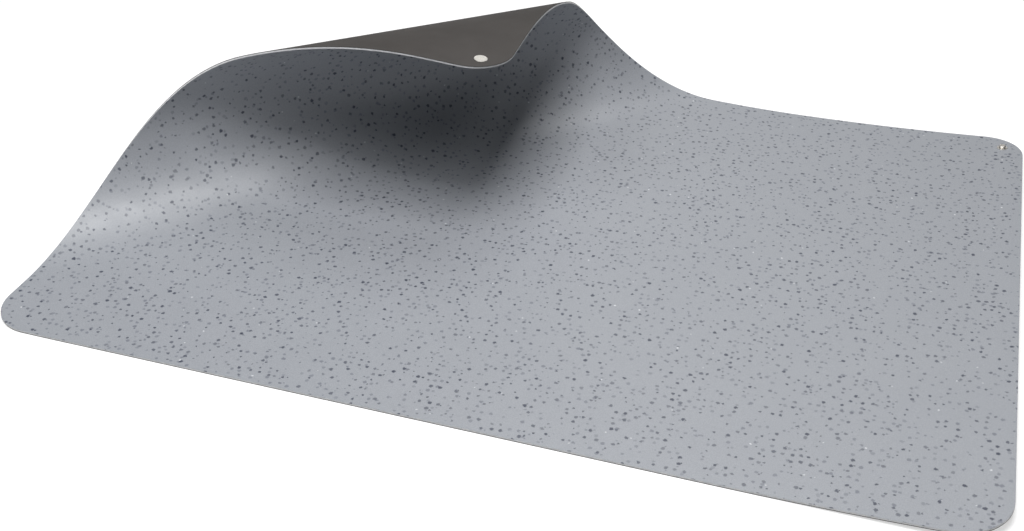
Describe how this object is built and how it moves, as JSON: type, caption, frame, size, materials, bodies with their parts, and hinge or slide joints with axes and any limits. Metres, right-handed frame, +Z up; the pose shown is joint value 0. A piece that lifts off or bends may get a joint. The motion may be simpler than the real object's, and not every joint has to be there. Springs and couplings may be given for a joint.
{
  "type": "esd floor mat",
  "caption": "Grey speckled static-dissipative floor mat on a dark conductive base, far corner rolled back over itself, with snap studs for a grounding lead.",
  "frame": {"origin": "middle of the mat's bounding box, on the floor under its flat part", "axes": "+X along the long edges, +Y away from the near long edge towards the edge with the snaps, +Z up from the floor"},
  "size_m": [1.1998, 0.9, 0.2549],
  "materials": {
    "wearing_layer": "satin light grey with dark and white flecks",
    "base_layer": "matte dark grey-brown",
    "snap_metal": "nickel plate, satin"
  },
  "bodies": {
    "root": {"top_layer": "wearing_layer", "base_layer": "base_layer", "snap_stud_left": "snap_metal", "snap_post_left": "snap_metal", "snap_stud_right": "snap_metal", "snap_post_right": "snap_metal"}
  },
  "joints": []
}
